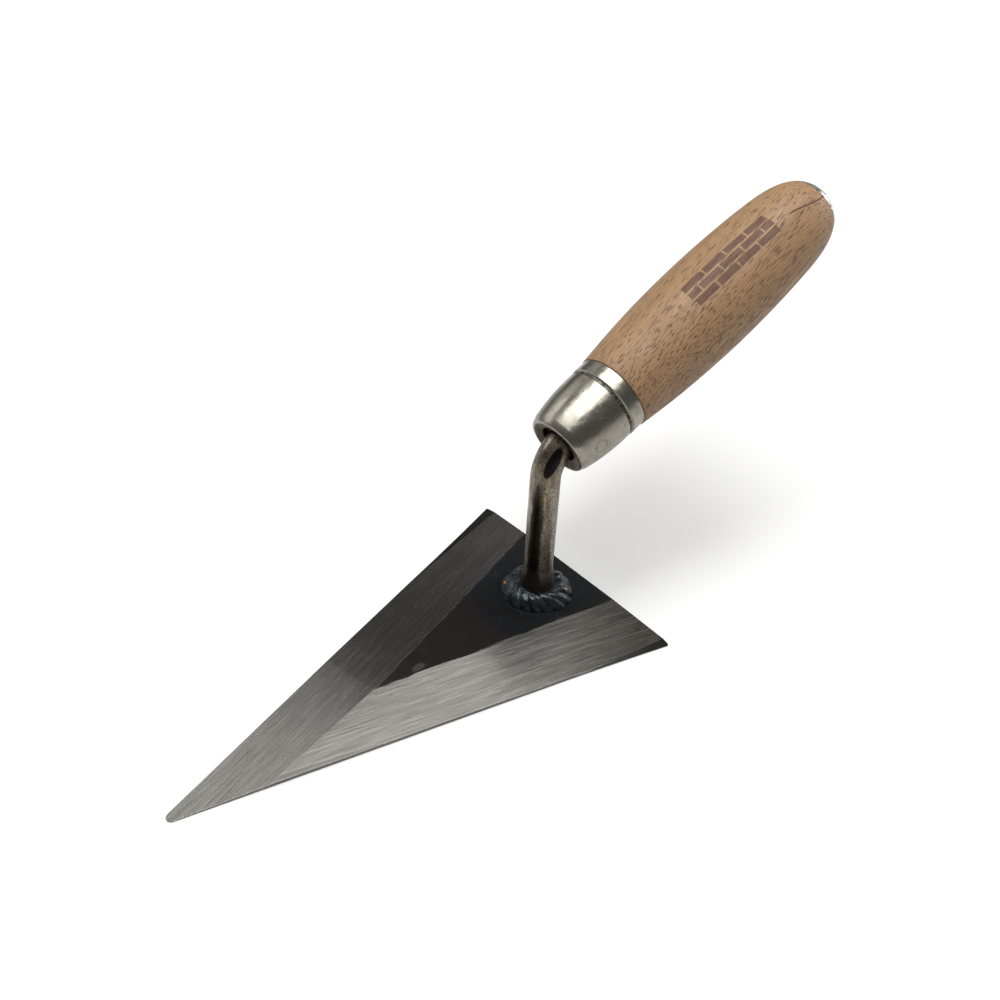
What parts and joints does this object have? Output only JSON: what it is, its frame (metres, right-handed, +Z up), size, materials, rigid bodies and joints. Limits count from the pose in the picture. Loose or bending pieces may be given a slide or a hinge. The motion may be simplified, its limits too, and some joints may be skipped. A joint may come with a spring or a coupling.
{
  "type": "brick trowel",
  "caption": "Brick trowel: a pointed steel blade with ground bevels, a bent round neck welded to it, and a turned wooden handle in a pressed ferrule and end cap.",
  "frame": {"origin": "where the neck's axis meets the blade's flat underside", "axes": "+X to the blade's tip, +Y across the blade (left as seen from the handle), +Z up out of the blade towards the handle; the handle runs back towards -X and up"},
  "size_m": [0.2682, 0.092, 0.1232],
  "materials": {
    "blade_steel": "ground bevels with brush lines along the edges, dark mill scale left as a triangle at the rear",
    "weld_metal": "blue-black rippled weld metal, semi-gloss",
    "neck_nickel": "dull nickel plate, speckled with brown rust and burnt at the foot",
    "ferrule_nickel": "bright nickel plate with water stains and fine scratches",
    "beech": "turned beech, open pores along the grain, thin satin varnish",
    "cap_zinc": "pressed zinc-plated sheet"
  },
  "bodies": {
    "root": {"blade": "blade_steel", "weld_bead": "weld_metal", "neck": "neck_nickel", "ferrule": "ferrule_nickel", "handle": "beech", "end_cap": "cap_zinc"}
  },
  "joints": []
}
